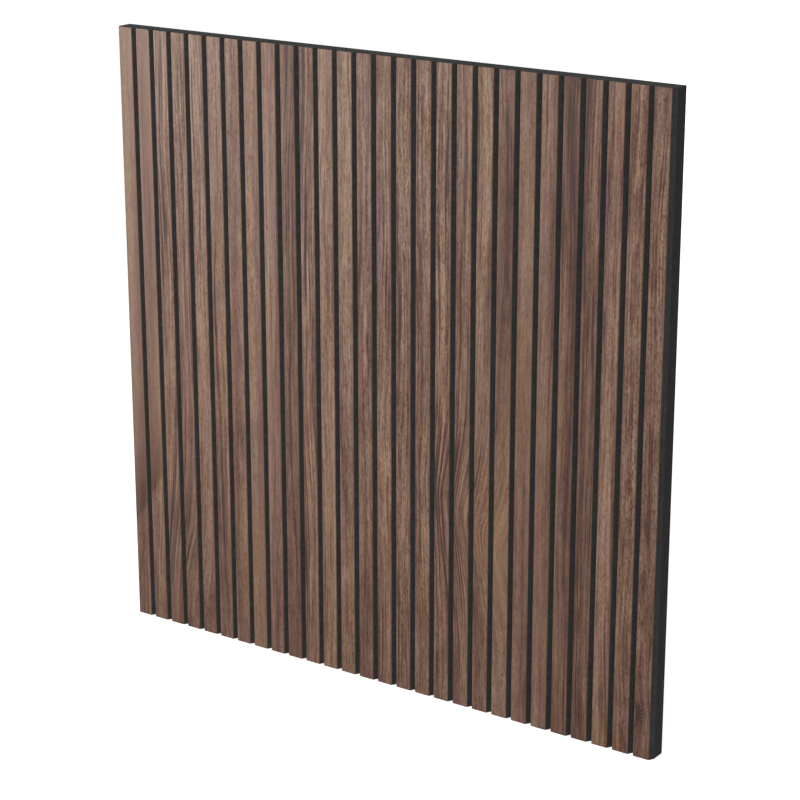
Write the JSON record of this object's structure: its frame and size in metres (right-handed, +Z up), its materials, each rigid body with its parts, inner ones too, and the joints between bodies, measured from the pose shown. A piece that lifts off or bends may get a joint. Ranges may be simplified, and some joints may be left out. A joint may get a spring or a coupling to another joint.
{
  "type": "slat wall panel",
  "caption": "Square decorative wall panel: a black board faced with walnut veneer, V-grooved from top to bottom into narrow flat slats, with a half groove down each side edge.",
  "frame": {"origin": "centre of the flat back face that goes against the wall", "axes": "+Y into the wall, slats facing -Y, +Z up along the grooves, +X to the right seen from the front"},
  "size_m": [0.6, 0.0196, 0.6],
  "materials": {
    "black_board": "matt through-dyed fibreboard, cut faces bare",
    "walnut_veneer": "matt lacquered walnut veneer, grain upright"
  },
  "bodies": {
    "root": {"grooved_board": "black_board", "veneer_strip_01": "walnut_veneer", "veneer_strip_02": "walnut_veneer", "veneer_strip_03": "walnut_veneer", "veneer_strip_04": "walnut_veneer", "veneer_strip_05": "walnut_veneer", "veneer_strip_06": "walnut_veneer", "veneer_strip_07": "walnut_veneer", "veneer_strip_08": "walnut_veneer", "veneer_strip_09": "walnut_veneer", "veneer_strip_10": "walnut_veneer", "veneer_strip_11": "walnut_veneer", "veneer_strip_12": "walnut_veneer", "veneer_strip_13": "walnut_veneer", "veneer_strip_14": "walnut_veneer", "veneer_strip_15": "walnut_veneer", "veneer_strip_16": "walnut_veneer", "veneer_strip_17": "walnut_veneer", "veneer_strip_18": "walnut_veneer", "veneer_strip_19": "walnut_veneer", "veneer_strip_20": "walnut_veneer", "veneer_strip_21": "walnut_veneer", "veneer_strip_22": "walnut_veneer", "veneer_strip_23": "walnut_veneer", "veneer_strip_24": "walnut_veneer", "veneer_strip_25": "walnut_veneer", "veneer_strip_26": "walnut_veneer", "veneer_strip_27": "walnut_veneer", "veneer_strip_28": "walnut_veneer"}
  },
  "joints": []
}
